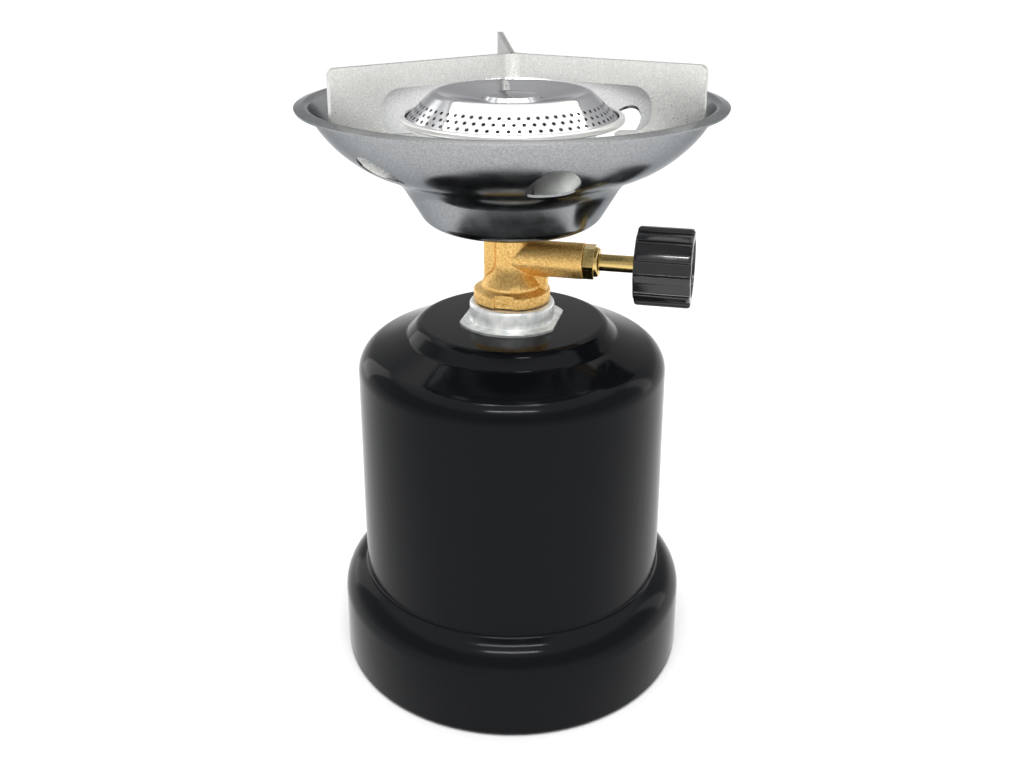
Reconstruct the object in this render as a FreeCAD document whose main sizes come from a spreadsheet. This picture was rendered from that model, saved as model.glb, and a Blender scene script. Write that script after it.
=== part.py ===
"""Butane camping stove: a pressed steel housing round a pierced gas cartridge, and a screw-on
brass valve that carries a dished bowl, a perforated burner and a three-winged pot support.

Millimetres, +Z up. The origin is the middle of the base ring on the ground, and the valve's
control arm points along +X."""

import FreeCAD, Part
import math
import os
import Sketcher

doc = FreeCAD.newDocument("CassetteStove")

# Driving dimensions, in millimetres and degrees, each written once
SIZES = {
    # How far a cut runs past what it removes, and how deep one form sinks into the next
    "cut_overshoot": 1.0,
    "join_overlap": 1.0,
    # Housing: one deep-drawn pressing, from the flared base to the boss on top
    "housing_sheet": 0.8,
    "base_flare": 7.1,
    "base_lip_width": 4.6,
    "base_edge_round": 1.6,
    "base_shoulder_round": 9.0,
    "base_shoulder_slope": 25.0,
    "base_shoulder_share": 1.2,
    "neck_height": 29.3,
    "neck_round": 1.2,
    "can_clearance": 1.0,
    "crown_round": 7.5,
    "crown_slope": 18.0,
    "boss_foot_radius": 32.0,
    "boss_foot_round": 2.0,
    "boss_edge_radius": 28.2,
    "boss_edge_round": 3.5,
    "boss_rise": 4.2,
    "boss_over_can": 8.1,
    "collar_hole_radius": 11.6,
    # Base plate, held in the housing's turned-in lip by three lugs
    "plate_sheet": 1.0,
    "plate_lift": 0.3,
    "plate_step": 4.9,
    "plate_rim_gap": 0.4,
    "plate_seat_margin": 0.8,
    "plate_step_width": 1.2,
    "plate_round": 0.7,
    "lug_count": 3,
    "lug_reach": 2.0,
    "lug_angle": 22.0,
    "lug_slot_angle": 26.0,
    "lug_slot_gap": 0.4,
    "lug_lock_angle": 35.0,
    "plate_hole_radius": 6.0,
    "plate_hole_circle": 26.0,
    # Gas cartridge
    "can_sheet": 0.5,
    "can_radius": 45.0,
    "can_rim_width": 2.6,
    "can_bottom_recess": 5.0,
    "can_recess_slope": 1.0,
    "can_recess_round": 1.6,
    "can_bottom_round": 0.8,
    "can_dome_height": 11.4,
    "can_shoulder_round": 8.0,
    "can_dome_radius": 30.0,
    "can_dome_rise": 7.5,
    "can_top_radius": 12.0,
    "can_top_round": 1.6,
    "can_height": 94.4,
    "can_hole_radius": 1.5,
    # Collar pressing and the threaded bush inside it
    "collar_sheet": 1.0,
    "collar_radius": 12.8,
    "collar_rise": 6.2,
    "collar_root_round": 0.8,
    "collar_top_round": 1.15,
    "collar_mouth_radius": 9.8,
    "collar_flange_radius": 16.4,
    "collar_flat_reach": 14.2,
    "collar_flat_count": 2,
    "bush_flange_radius": 14.5,
    "bush_flange_height": 1.4,
    "bush_drop": 5.0,
    "fit_gap": 0.1,
    "thread_gap": 0.06,
    # Valve body: a brass forging
    "disc_gap": 0.3,
    "disc_radius": 11.5,
    "disc_height": 4.6,
    "disc_cone_rise": 1.2,
    "disc_edge_round": 0.5,
    "shank_radius": 9.0,
    "shank_length": 12.0,
    "notch_width": 5.8,
    "notch_depth": 1.3,
    "notch_count": 2,
    "bell_radius": 9.1,
    "bell_step": 0.8,
    "bell_height": 5.6,
    "bell_round": 5.0,
    "column_radius": 5.2,
    "fin_thickness": 3.6,
    "fin_reach": 8.2,
    "fin_top_gap": 0.4,
    "web_reach": 10.8,
    "arm_rise": 8.6,
    "column_rise": 6.8,
    "arm_radius": 5.2,
    "arm_barrel_radius": 5.35,
    "arm_barrel_start": 9.6,
    "arm_length": 21.8,
    "spigot_radius": 4.4,
    "spigot_height": 7.0,
    "pin_pocket_radius": 5.0,
    "pin_pocket_depth": 3.0,
    "passage_radius": 0.8,
    "inlet_offset": 4.0,
    "seat_passage_radius": 0.7,
    "seat_reach": 3.0,
    "stem_bore_radius": 2.85,
    "gland_depth": 5.0,
    "gland_bore_radius": 4.0,
    # Piercing pin, filter, gasket and jet
    "pin_head_height": 1.5,
    "pin_radius": 1.1,
    "pin_bore_radius": 0.5,
    "pin_reach": 6.0,
    "pin_point_height": 2.0,
    "gasket_radius": 8.4,
    "gasket_bore_radius": 1.5,
    "gasket_height": 2.2,
    "seal_gap": 0.2,
    "jet_thread_radius": 2.0,
    "jet_thread_length": 3.0,
    "jet_head_radius": 2.9,
    "jet_head_height": 2.4,
    "jet_head_skirt": 1.2,
    "jet_tip_radius": 1.0,
    "jet_hole_radius": 0.3,
    # Control stem, its gland and the knob
    "needle_gap": 0.4,
    "needle_length": 4.6,
    "needle_tip_radius": 0.5,
    "needle_root_radius": 1.7,
    "needle_neck_length": 1.0,
    "stem_thread_margin": 2.2,
    "stem_running_gap": 0.06,
    "ring_groove_inset": 1.8,
    "ring_groove_width": 1.6,
    "ring_groove_radius": 2.1,
    "ring_side_gap": 0.15,
    "spindle_radius": 2.5,
    "spindle_in_knob": 13.3,
    "packing_gap": 0.2,
    "packing_length": 2.4,
    "nut_hex_flats": 9.3,
    "nut_hex_length": 3.1,
    "nut_dome_radius": 4.4,
    "nut_dome_length": 1.5,
    "nut_dome_round": 1.0,
    "knob_stand_off": 15.4,
    "knob_length": 16.3,
    "knob_radius": 11.6,
    "knob_end_round": 1.0,
    "knob_face_radius": 8.4,
    "knob_face_depth": 0.7,
    "knob_wall": 2.4,
    "knob_hub_radius": 4.8,
    "knob_hollow_depth": 9.0,
    "knob_bore_gap": 0.02,
    "knob_bore_end_gap": 0.3,
    "flute_count": 11,
    "flute_depth": 1.2,
    "flute_floor_width": 3.6,
    "flute_mouth_width": 5.4,
    "flute_turn": 11.2,
    # Bowl
    "bowl_sheet": 0.6,
    "bowl_hole_radius": 4.6,
    "bowl_floor_radius": 9.0,
    "bowl_floor_round": 3.0,
    "bowl_cup_radius": 25.4,
    "bowl_cup_round": 6.2,
    "bowl_floor_slope": 17.1,
    "bowl_crease_radius": 33.8,
    "bowl_crease_round": 12.0,
    "bowl_cup_slope": 59.52,
    "bowl_bend_radius": 51.5,
    "bowl_bend_round": 30.0,
    "bowl_dish_slope": 18.9,
    "bowl_wall_radius": 57.9,
    "bowl_wall_slope": 66.0,
    "bowl_lip_round": 1.2,
    "bowl_rim_radius": 61.0,
    "bowl_lip_slope": 16.0,
    "vent_count": 6,
    "vent_radius": 7.0,
    "vent_circle": 45.7,
    "vent_azimuth": -64.0,
    "washer_radius": 8.4,
    "washer_height": 1.0,
    "lock_nut_flats": 13.0,
    "lock_nut_height": 3.0,
    "lock_nut_collar_height": 2.2,
    # Mixing tube and burner
    "tube_radius": 6.5,
    "tube_wall": 0.7,
    "tube_rise": 25.0,
    "air_hole_count": 4,
    "air_hole_radius": 2.2,
    "air_hole_rise": 12.0,
    "pan_sheet": 0.5,
    "pan_neck_rise": 19.5,
    "pan_neck_length": 6.1,
    "pan_neck_round": 1.6,
    "pan_floor_radius": 27.6,
    "pan_floor_round": 2.0,
    "pan_rim_rise": 33.9,
    "pan_rim_radius": 32.2,
    "pan_curl_height": 1.9,
    "pan_curl_round": 0.8,
    "pan_curl_width": 1.6,
    "cap_sheet": 0.5,
    "cap_flange_radius": 31.5,
    "cap_band_radius": 30.3,
    "cap_band_round": 0.8,
    "cap_shoulder_radius": 22.4,
    "cap_shoulder_rise": 8.8,
    "cap_shoulder_round": 3.0,
    "cap_dish_radius": 8.7,
    "cap_dish_rise": 6.0,
    "cap_dish_round": 1.2,
    "cap_boss_radius": 7.4,
    "cap_boss_rise": 1.5,
    "cap_boss_round": 0.6,
    "flame_hole_count": 64,
    "flame_hole_radius": 0.55,
    "flame_row_radius": 27.5,
    "flame_row_pitch": 2.05,
    # Pot support: three folded plates, back to back in three wings
    "support_sheet": 0.8,
    "support_plate_gap": 0.1,
    "support_count": 3,
    "support_azimuth": 227.0,
    "support_bend_radius": 3.0,
    "support_reach": 56.4,
    "support_rise": 52.9,
    "support_bar_height": 6.5,
    "support_top_round": 2.0,
    "support_leg_radius": 42.0,
    "support_window_round": 5.5,
    "support_foot_height": 33.6,
    "support_foot_rise": 1.0,
    "support_foot_radius": 31.6,
    "support_foot_round": 1.0,
    "support_foot_end_drop": 4.0,
    "support_heel_radius": 36.6,
    "support_seat_gap": 0.1,
}

sheet = doc.addObject("Spreadsheet::Sheet", "Sizes")
for row, (name, number) in enumerate(SIZES.items(), start=1):
    sheet.set("A%d" % row, name)
    sheet.set("B%d" % row, str(number))
    sheet.setAlias("B%d" % row, name)
doc.recompute()


class Size:
    """A size from the sheet, or a sum of such sizes: its value, and the text that binds it."""

    def __init__(self, value, text):
        self.value = value
        self.text = text

    def __add__(self, other):
        other = as_size(other)
        return Size(self.value + other.value, "(%s + %s)" % (self.text, other.text))

    def __sub__(self, other):
        other = as_size(other)
        return Size(self.value - other.value, "(%s - %s)" % (self.text, other.text))

    def __mul__(self, other):
        other = as_size(other)
        return Size(self.value * other.value, "(%s * %s)" % (self.text, other.text))

    def __truediv__(self, other):
        other = as_size(other)
        return Size(self.value / other.value, "(%s / %s)" % (self.text, other.text))

    def __neg__(self):
        return Size(-self.value, "(-%s)" % self.text)


def as_size(value):
    return value if isinstance(value, Size) else Size(float(value), repr(value))


def size(name):
    return Size(float(sheet.get(name)), "Sizes." + name)


def sine(angle):
    return Size(math.sin(math.radians(angle.value)), "sin(%s)" % angle.text)


def cosine(angle):
    return Size(math.cos(math.radians(angle.value)), "cos(%s)" % angle.text)


def tangent(angle):
    return Size(math.tan(math.radians(angle.value)), "tan(%s)" % angle.text)


def smaller(first, second):
    return Size(min(first.value, second.value), "min(%s; %s)" % (first.text, second.text))


def bind(thing, **values):
    """Binds properties of an object to the sheet."""
    for name, value in values.items():
        thing.setExpression(name, as_size(value).text)


# Sketches

def sketch_on(body, name, role, **offsets):
    """A sketch on one of the body's own origin planes, moved by the bound offsets."""
    sketch = body.newObject("Sketcher::SketchObject", name)
    plane = [part for part in body.Origin.OriginFeatures if part.Role == role][0]
    sketch.AttachmentSupport = (plane, [""])
    sketch.MapMode = "FlatFace"
    for axis, value in offsets.items():
        sketch.setExpression("AttachmentOffset.Base." + axis, as_size(value).text)
    return sketch


def constrain(sketch, kind, *where, value=None):
    """Adds a constraint, bound to the sheet where it has a value."""
    if value is None:
        return sketch.addConstraint(Sketcher.Constraint(kind, *where))
    value = as_size(value)
    index = sketch.addConstraint(Sketcher.Constraint(kind, *where, value.value))
    sketch.setExpression("Constraints[%d]" % index, value.text)
    return index


def pin_down(sketch, geometry, position, x, y):
    """Places a point of the sketch at bound distances from its origin."""
    constrain(sketch, "DistanceX", -1, 1, geometry, position, value=x)
    constrain(sketch, "DistanceY", -1, 1, geometry, position, value=y)


def rounded_path(corners, closed):
    """Splits corners (x, y, radius) into straight runs and the arcs that round the corners."""
    count = len(corners)
    runs = count if closed else count - 1
    entry, leave, centre = {}, {}, {}
    for i, (x, y, radius) in enumerate(corners):
        point = FreeCAD.Vector(x, y, 0)
        entry[i] = leave[i] = point
        if radius and (closed or 0 < i < count - 1):
            before = FreeCAD.Vector(*corners[i - 1][:2], 0) - point
            after = FreeCAD.Vector(*corners[(i + 1) % count][:2], 0) - point
            before.normalize()
            after.normalize()
            half = before.getAngle(after) / 2
            entry[i] = point + before * (radius / math.tan(half))
            leave[i] = point + after * (radius / math.tan(half))
            middle = before + after
            middle.normalize()
            centre[i] = point + middle * (radius / math.sin(half))
    lines = [(leave[i], entry[(i + 1) % count]) for i in range(runs)]
    return lines, entry, leave, centre


def add_path(sketch, corners, closed):
    """Draws the runs and the tangent arcs, and returns their indices: {run}, {corner: arc}."""
    lines, entry, leave, centre = rounded_path(corners, closed)
    line_ids = [sketch.addGeometry(Part.LineSegment(a, b), False) for a, b in lines]
    arc_ids = {}
    for i, middle in centre.items():
        start, end = entry[i], leave[i]
        turn = (start - middle).cross(end - middle).z
        first, last = (start, end) if turn > 0 else (end, start)
        circle = Part.Circle(middle, FreeCAD.Vector(0, 0, 1), corners[i][2])
        arc = Part.ArcOfCircle(circle, circle.parameter(first), circle.parameter(last))
        arc_ids[i] = sketch.addGeometry(arc, False)
        before = line_ids[i - 1]
        after = line_ids[i]
        in_end, out_end = (1, 2) if turn > 0 else (2, 1)
        constrain(sketch, "Tangent", before, 2, arc_ids[i], in_end)
        constrain(sketch, "Tangent", arc_ids[i], out_end, after, 1)
    count = len(corners)
    for i in range(count):
        inner_corner = closed or 0 < i < count - 1
        if inner_corner and i not in arc_ids:
            constrain(sketch, "Coincident", line_ids[i - 1], 2, line_ids[i], 1)
    return line_ids, arc_ids


def place_corners(sketch, corners, line_ids, arc_ids, closed):
    """Binds each corner's place, and the radius of its arc, to the sheet."""
    last = len(corners) - 1
    for i, corner in enumerate(corners):
        x, y = corner[0], corner[1]
        if i in arc_ids:
            spot = Part.Point(FreeCAD.Vector(as_size(x).value, as_size(y).value, 0))
            point = sketch.addGeometry(spot, True)
            constrain(sketch, "PointOnObject", point, 1, line_ids[i - 1])
            constrain(sketch, "PointOnObject", point, 1, line_ids[i])
            pin_down(sketch, point, 1, x, y)
            constrain(sketch, "Radius", arc_ids[i], value=corner[2])
        elif i == last and not closed:
            pin_down(sketch, line_ids[-1], 2, x, y)
        else:
            pin_down(sketch, line_ids[i], 1, x, y)


def plain(corners):
    """The corners' bare numbers, with no radius where none is given."""
    rows = []
    for corner in corners:
        radius = as_size(corner[2]).value if len(corner) > 2 else 0
        rows.append((as_size(corner[0]).value, as_size(corner[1]).value, radius))
    return rows


def outline(sketch, corners):
    """A closed outline through corners (x, y) or (x, y, radius)."""
    line_ids, arc_ids = add_path(sketch, plain(corners), True)
    place_corners(sketch, corners, line_ids, arc_ids, True)


def sheet_outline(sketch, corners, thickness, side):
    """The section of a pressed sheet: the path of one face, and the other face beside it.

    side is 1 where the sheet lies to the left of the path, and -1 to the right."""
    numbers = plain(corners)
    line_ids, arc_ids = add_path(sketch, numbers, False)
    place_corners(sketch, corners, line_ids, arc_ids, False)
    gap = thickness.value
    normals = []
    for (ax, ay, _), (bx, by, _) in zip(numbers[:-1], numbers[1:]):
        length = math.hypot(bx - ax, by - ay)
        normals.append((-side * (by - ay) / length, side * (bx - ax) / length))
    other, radii = [], {}
    for i, (x, y, radius) in enumerate(numbers):
        (ux, uy) = normals[max(i - 1, 0)]
        (vx, vy) = normals[min(i, len(normals) - 1)]
        stretch = gap / (1 + ux * vx + uy * vy)
        bend = side * (ux * vy - uy * vx)
        radii[i] = as_size(0)
        if radius:
            radii[i] = corners[i][2] - thickness if bend * side > 0 else corners[i][2] + thickness
        other.append((x + stretch * (ux + vx), y + stretch * (uy + vy), radii[i].value))
    far_lines, far_arcs = add_path(sketch, other, False)
    for near, far in zip(line_ids, far_lines):
        constrain(sketch, "Parallel", near, far)
        constrain(sketch, "Distance", near, 1, far, value=thickness)
    for i, arc in far_arcs.items():
        constrain(sketch, "Radius", arc, value=radii[i])
    for end, position in ((0, 1), (-1, 2)):
        a = FreeCAD.Vector(*numbers[end][:2], 0)
        b = FreeCAD.Vector(*other[end][:2], 0)
        cap = sketch.addGeometry(Part.LineSegment(a, b), False)
        constrain(sketch, "Coincident", cap, 1, line_ids[end], position)
        constrain(sketch, "Coincident", cap, 2, far_lines[end], position)
        constrain(sketch, "Perpendicular", cap, line_ids[end])


def circle(sketch, x, y, radius):
    middle = FreeCAD.Vector(as_size(x).value, as_size(y).value, 0)
    normal = FreeCAD.Vector(0, 0, 1)
    index = sketch.addGeometry(Part.Circle(middle, normal, as_size(radius).value), False)
    constrain(sketch, "Radius", index, value=radius)
    pin_down(sketch, index, 3, x, y)


# Features

parts = []


def new_body(label):
    body = doc.addObject("PartDesign::Body", label)
    body.Label = label
    parts.append(body)
    return body


def turn(body, sketch, kind="PartDesign::Revolution", axis="V_Axis"):
    """Revolves a sketch a full turn about one of its axes, as solid or as a cut."""
    feature = body.newObject(kind, sketch.Name + "Turn")
    feature.Profile = sketch
    feature.ReferenceAxis = (sketch, [axis])
    feature.Angle = 360.0
    sketch.Visibility = False
    return feature


def pad(body, sketch, length, reverse=False, middle=False):
    feature = body.newObject("PartDesign::Pad", sketch.Name + "Pad")
    feature.Profile = sketch
    feature.Reversed = reverse
    feature.Midplane = middle
    bind(feature, Length=length)
    return feature


def pocket(body, sketch, length, reverse=False, middle=False):
    feature = body.newObject("PartDesign::Pocket", sketch.Name + "Pocket")
    feature.Profile = sketch
    feature.Reversed = reverse
    feature.Midplane = middle
    bind(feature, Length=length)
    return feature


def repeat_round(body, feature, count, axis=None):
    """Repeats a feature evenly about the body's Z axis, or about a sketch's axis."""
    if axis is None:
        axis = ([part for part in body.Origin.OriginFeatures if part.Role == "Z_Axis"][0], [""])
    pattern = body.newObject("PartDesign::PolarPattern", feature.Name + "Round")
    pattern.Originals = [feature]
    pattern.Axis = axis
    pattern.Angle = 360.0
    bind(pattern, Occurrences=count)
    body.Tip = pattern
    return pattern


def turned(label, corners):
    """A turned piece about Z."""
    body = new_body(label)
    section = sketch_on(body, label + "_section", "XZ_Plane")
    outline(section, corners)
    turn(body, section)
    return body


def pressed(label, corners, thickness, side):
    """A round pressing in sheet metal about Z."""
    body = new_body(label)
    section = sketch_on(body, label + "_section", "XZ_Plane")
    sheet_outline(section, corners, thickness, side)
    turn(body, section)
    return body


def ring(label, inner, outer, bottom, height):
    """A flat ring about Z."""
    return turned(label, [
        (inner, bottom),
        (outer, bottom),
        (outer, bottom + height),
        (inner, bottom + height),
    ])


def sector(sketch, inner, outer, middle, angle):
    """A ring sector with straight edges, about the sketch's origin."""
    low, high = middle - angle / 2, middle + angle / 2
    outline(sketch, [
        (inner * cosine(low), inner * sine(low)),
        (outer * cosine(low), outer * sine(low)),
        (outer * cosine(high), outer * sine(high)),
        (inner * cosine(high), inner * sine(high)),
    ])


def hexagon(sketch, flats, x=0, y=0):
    """A regular hexagon by its width across flats, with a corner along the sketch's X axis."""
    reach = flats / math.sqrt(3)
    sides = 6
    corners = []
    for k in range(sides):
        angle = as_size(360 * k) / sides
        corners.append((reach * cosine(angle) + x, reach * sine(angle) + y))
    outline(sketch, corners)


# Housing: the wall rises from a turned-in lip through the flared base, the neck and the crown
# to the raised boss, which has the collar's hole. The lip has a slot for each lug of the plate.

overshoot = size("cut_overshoot")
overlap = size("join_overlap")
housing_sheet = size("housing_sheet")
can_radius = size("can_radius")
wall_radius = can_radius + size("can_clearance") + housing_sheet
base_radius = wall_radius + size("base_flare")
lip_radius = base_radius - size("base_lip_width")
plate_sheet = size("plate_sheet")
plate_bottom = housing_sheet + size("plate_lift")
seat_bottom = plate_bottom + size("plate_step")
can_bottom = seat_bottom + plate_sheet
can_top = can_bottom + size("can_height")
boss_height = can_top + size("boss_over_can")
boss_foot = boss_height - size("boss_rise")
crown_corner = boss_foot - (wall_radius - size("boss_foot_radius")) * tangent(size("crown_slope"))
shoulder_width = (base_radius - wall_radius) / cosine(size("base_shoulder_slope"))
shoulder_round = smaller(size("base_shoulder_round"), shoulder_width * size("base_shoulder_share"))
shoulder_drop = (base_radius - wall_radius) * tangent(size("base_shoulder_slope"))

housing = pressed("housing_shell", [
    (lip_radius, 0),
    (base_radius, 0, size("base_edge_round")),
    (base_radius, size("neck_height") - shoulder_drop, shoulder_round),
    (wall_radius, size("neck_height"), size("neck_round")),
    (wall_radius, crown_corner, size("crown_round")),
    (size("boss_foot_radius"), boss_foot, size("boss_foot_round")),
    (size("boss_edge_radius"), boss_height, size("boss_edge_round")),
    (size("collar_hole_radius"), boss_height),
], housing_sheet, 1)

lug_radius = lip_radius + size("lug_reach")
lug_angle = size("lug_angle")
slot_angle = size("lug_slot_angle")
slot_edge = lug_radius * cosine(lug_angle / 2) + size("lug_slot_gap")
slot = sketch_on(housing, "lug_slot", "XY_Plane", z=-overshoot)
sector(slot, lip_radius - overshoot, slot_edge / cosine(slot_angle / 2),
       -size("lug_lock_angle"), slot_angle)
slot_cut = pocket(housing, slot, housing_sheet + overshoot, reverse=True)
repeat_round(housing, slot_cut, size("lug_count"))

# Base plate: it sits inside the lip on three lugs, and its raised middle carries the cartridge

plate_radius = lip_radius - size("plate_rim_gap")
seat_radius = can_radius + size("plate_seat_margin")

plate = pressed("base_plate", [
    (0, seat_bottom),
    (seat_radius, seat_bottom, size("plate_round")),
    (seat_radius + size("plate_step_width"), plate_bottom, size("plate_round") + plate_sheet),
    (plate_radius, plate_bottom),
], plate_sheet, 1)
lug = sketch_on(plate, "lug", "XY_Plane", z=plate_bottom)
sector(lug, plate_radius - overlap, lug_radius, as_size(0), lug_angle)
repeat_round(plate, pad(plate, lug, plate_sheet), size("lug_count"))
plate_hole = sketch_on(plate, "plate_hole", "XY_Plane", z=seat_bottom - overshoot)
circle(plate_hole, size("plate_hole_circle"), 0, size("plate_hole_radius"))
hole_cut = pocket(plate, plate_hole, plate_sheet + overshoot * 2, reverse=True)
repeat_round(plate, hole_cut, size("lug_count"))

# Gas cartridge: a thin steel can with a domed top, pierced in the middle

rim_radius = can_radius - size("can_rim_width")
dome_foot = can_top - size("can_dome_height")

pressed("gas_cartridge", [
    (0, can_bottom + size("can_bottom_recess")),
    (rim_radius - size("can_recess_slope"), can_bottom + size("can_bottom_recess"),
     size("can_recess_round")),
    (rim_radius, can_bottom, size("can_bottom_round")),
    (can_radius, can_bottom, size("can_bottom_round")),
    (can_radius, dome_foot, size("can_shoulder_round")),
    (size("can_dome_radius"), dome_foot + size("can_dome_rise"), size("can_shoulder_round")),
    (size("can_top_radius"), can_top, size("can_top_round")),
    (size("can_hole_radius"), can_top),
], size("can_sheet"), 1)

# Collar: a plated pressing on the boss, with a flat on each side of its flange

collar_top = boss_height + size("collar_rise")
collar_sheet = size("collar_sheet")
collar_radius = size("collar_radius")

collar = pressed("threaded_collar", [
    (size("collar_flange_radius"), boss_height + collar_sheet),
    (collar_radius, boss_height + collar_sheet, size("collar_root_round")),
    (collar_radius, collar_top, size("collar_top_round")),
    (size("collar_mouth_radius"), collar_top),
], collar_sheet, 1)
trim = sketch_on(collar, "flange_trim", "XY_Plane", z=boss_height - overshoot)
flat_reach = size("collar_flat_reach")
trim_end = size("collar_flange_radius") + overshoot
outline(trim, [
    (flat_reach, -trim_end),
    (trim_end, -trim_end),
    (trim_end, trim_end),
    (flat_reach, trim_end),
])
trim_cut = pocket(collar, trim, collar_sheet + overshoot * 2, reverse=True)
repeat_round(collar, trim_cut, size("collar_flat_count"))

# Threaded bush: it fills the collar, and its flange holds the pressing to the boss from below

bush_radius = size("collar_hole_radius") - size("fit_gap")
bush_bore = size("shank_radius") + size("thread_gap")
boss_underside = boss_height - housing_sheet
bush_flange_top = boss_underside - size("fit_gap")
bush_top = collar_top - collar_sheet - size("fit_gap")

turned("threaded_bush", [
    (bush_bore, boss_underside - size("bush_drop")),
    (bush_radius, boss_underside - size("bush_drop")),
    (bush_radius, bush_flange_top - size("bush_flange_height")),
    (size("bush_flange_radius"), bush_flange_top - size("bush_flange_height")),
    (size("bush_flange_radius"), bush_flange_top),
    (bush_radius, bush_flange_top),
    (bush_radius, bush_top),
    (bush_bore, bush_top),
])

# Valve body: shank, wrench disc with a coned top, bell, column and spigot in one forging, with a
# fin behind the column, a web under the arm, and the gas passages drilled through it

disc_bottom = collar_top + size("disc_gap")
disc_top = disc_bottom + size("disc_height")
shank_bottom = disc_bottom - size("shank_length")
bell_top = disc_top + size("bell_height")
column_radius = size("column_radius")
arm_height = disc_top + size("arm_rise")
column_top = arm_height + size("column_rise")
spigot_top = column_top + size("spigot_height")

valve = turned("valve_body", [
    (0, shank_bottom),
    (size("shank_radius"), shank_bottom),
    (size("shank_radius"), disc_bottom),
    (size("disc_radius"), disc_bottom, size("disc_edge_round")),
    (size("disc_radius"), disc_top - size("disc_cone_rise"), size("disc_edge_round")),
    (size("bell_radius"), disc_top),
    (size("bell_radius"), disc_top + size("bell_step"), size("disc_edge_round")),
    (column_radius, bell_top, size("bell_round")),
    (column_radius, column_top),
    (size("spigot_radius"), column_top),
    (size("spigot_radius"), spigot_top),
    (0, spigot_top),
])

fins = sketch_on(valve, "fin_and_web", "XZ_Plane")
fin_top = column_top - size("fin_top_gap")
outline(fins, [
    (-size("fin_reach"), disc_top - overlap),
    (size("web_reach"), disc_top - overlap),
    (size("web_reach"), arm_height),
    (0, arm_height),
    (0, fin_top),
    (-size("fin_reach"), fin_top),
])
pad(valve, fins, size("fin_thickness"), middle=True)

arm = sketch_on(valve, "arm", "YZ_Plane")
circle(arm, 0, arm_height, size("arm_radius"))
pad(valve, arm, size("arm_barrel_start") + overlap)
barrel = sketch_on(valve, "arm_barrel", "YZ_Plane", z=size("arm_barrel_start"))
circle(barrel, 0, arm_height, size("arm_barrel_radius"))
arm_length = size("arm_length")
pad(valve, barrel, arm_length - size("arm_barrel_start"))

notch = sketch_on(valve, "wrench_notch", "XY_Plane", z=disc_bottom - overshoot)
notch_floor = size("disc_radius") - size("notch_depth")
half_notch = size("notch_width") / 2
outline(notch, [
    (-half_notch, notch_floor),
    (half_notch, notch_floor),
    (half_notch, size("disc_radius") + overshoot),
    (-half_notch, size("disc_radius") + overshoot),
])
notch_cut = pocket(valve, notch, size("disc_height") + overshoot * 2, reverse=True)
repeat_round(valve, notch_cut, size("notch_count"))

gland_floor = arm_length - size("gland_depth")
gland_bore = sketch_on(valve, "gland_bore", "YZ_Plane", z=gland_floor)
circle(gland_bore, 0, arm_height, size("gland_bore_radius"))
pocket(valve, gland_bore, arm_length, reverse=True)
seat_reach = size("seat_reach")
stem_bore = sketch_on(valve, "stem_bore", "YZ_Plane", z=seat_reach)
circle(stem_bore, 0, arm_height, size("stem_bore_radius"))
pocket(valve, stem_bore, arm_length, reverse=True)
seat_bore = sketch_on(valve, "seat_bore", "YZ_Plane")
circle(seat_bore, 0, arm_height, size("seat_passage_radius"))
pocket(valve, seat_bore, arm_length, reverse=True)

pin_pocket = sketch_on(valve, "pin_pocket", "XY_Plane", z=shank_bottom)
circle(pin_pocket, 0, 0, size("pin_pocket_radius"))
pocket(valve, pin_pocket, size("pin_pocket_depth"), reverse=True)
inlet = sketch_on(valve, "inlet_passage", "XY_Plane", z=shank_bottom)
circle(inlet, size("inlet_offset"), 0, size("passage_radius"))
pocket(valve, inlet, arm_height - shank_bottom, reverse=True)
outlet = sketch_on(valve, "outlet_passage", "XY_Plane", z=arm_height)
circle(outlet, 0, 0, size("passage_radius"))
pocket(valve, outlet, spigot_top - arm_height, reverse=True)
jet_bore_radius = size("jet_thread_radius") + size("thread_gap")
jet_bore_depth = size("jet_thread_length") + size("fit_gap")
jet_bore = sketch_on(valve, "jet_bore", "XY_Plane", z=spigot_top - jet_bore_depth)
circle(jet_bore, 0, 0, jet_bore_radius)
pocket(valve, jet_bore, size("spigot_height"), reverse=True)

# Piercing pin: a hollow steel point on a round head, pressed into the shank under the filter

pin_head_radius = size("pin_pocket_radius") - size("fit_gap") / 2
pin_tip = shank_bottom - size("pin_reach")

turned("piercing_pin", [
    (size("pin_bore_radius"), pin_tip),
    (size("pin_radius"), pin_tip + size("pin_point_height")),
    (size("pin_radius"), shank_bottom),
    (pin_head_radius, shank_bottom),
    (pin_head_radius, shank_bottom + size("pin_head_height")),
    (size("pin_bore_radius"), shank_bottom + size("pin_head_height")),
])

filter_bottom = shank_bottom + size("pin_head_height") + size("fit_gap")
filter_height = size("pin_pocket_depth") - size("pin_head_height") - size("fit_gap") * 2
gas_filter = doc.addObject("Part::Cylinder", "gas_filter")
bind(gas_filter, Radius=pin_head_radius, Height=filter_height)
gas_filter.setExpression("Placement.Base.z", filter_bottom.text)
gas_filter.Label = "gas_filter"
parts.append(gas_filter)

# Sealing gasket: a rubber ring between the shank and the cartridge's top

ring("sealing_gasket", size("gasket_bore_radius"), size("gasket_radius"),
     can_top + size("seal_gap"), size("gasket_height"))

# Injector jet: screwed into the top of the spigot

turned("injector_jet", [
    (size("jet_hole_radius"), spigot_top - size("jet_thread_length")),
    (size("jet_thread_radius"), spigot_top - size("jet_thread_length")),
    (size("jet_thread_radius"), spigot_top),
    (size("jet_head_radius"), spigot_top),
    (size("jet_head_radius"), spigot_top + size("jet_head_skirt")),
    (size("jet_tip_radius"), spigot_top + size("jet_head_height")),
    (size("jet_hole_radius"), spigot_top + size("jet_head_height")),
])

# Pieces about the control arm's axis, drawn as sections in the XZ plane at the arm's height


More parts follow.
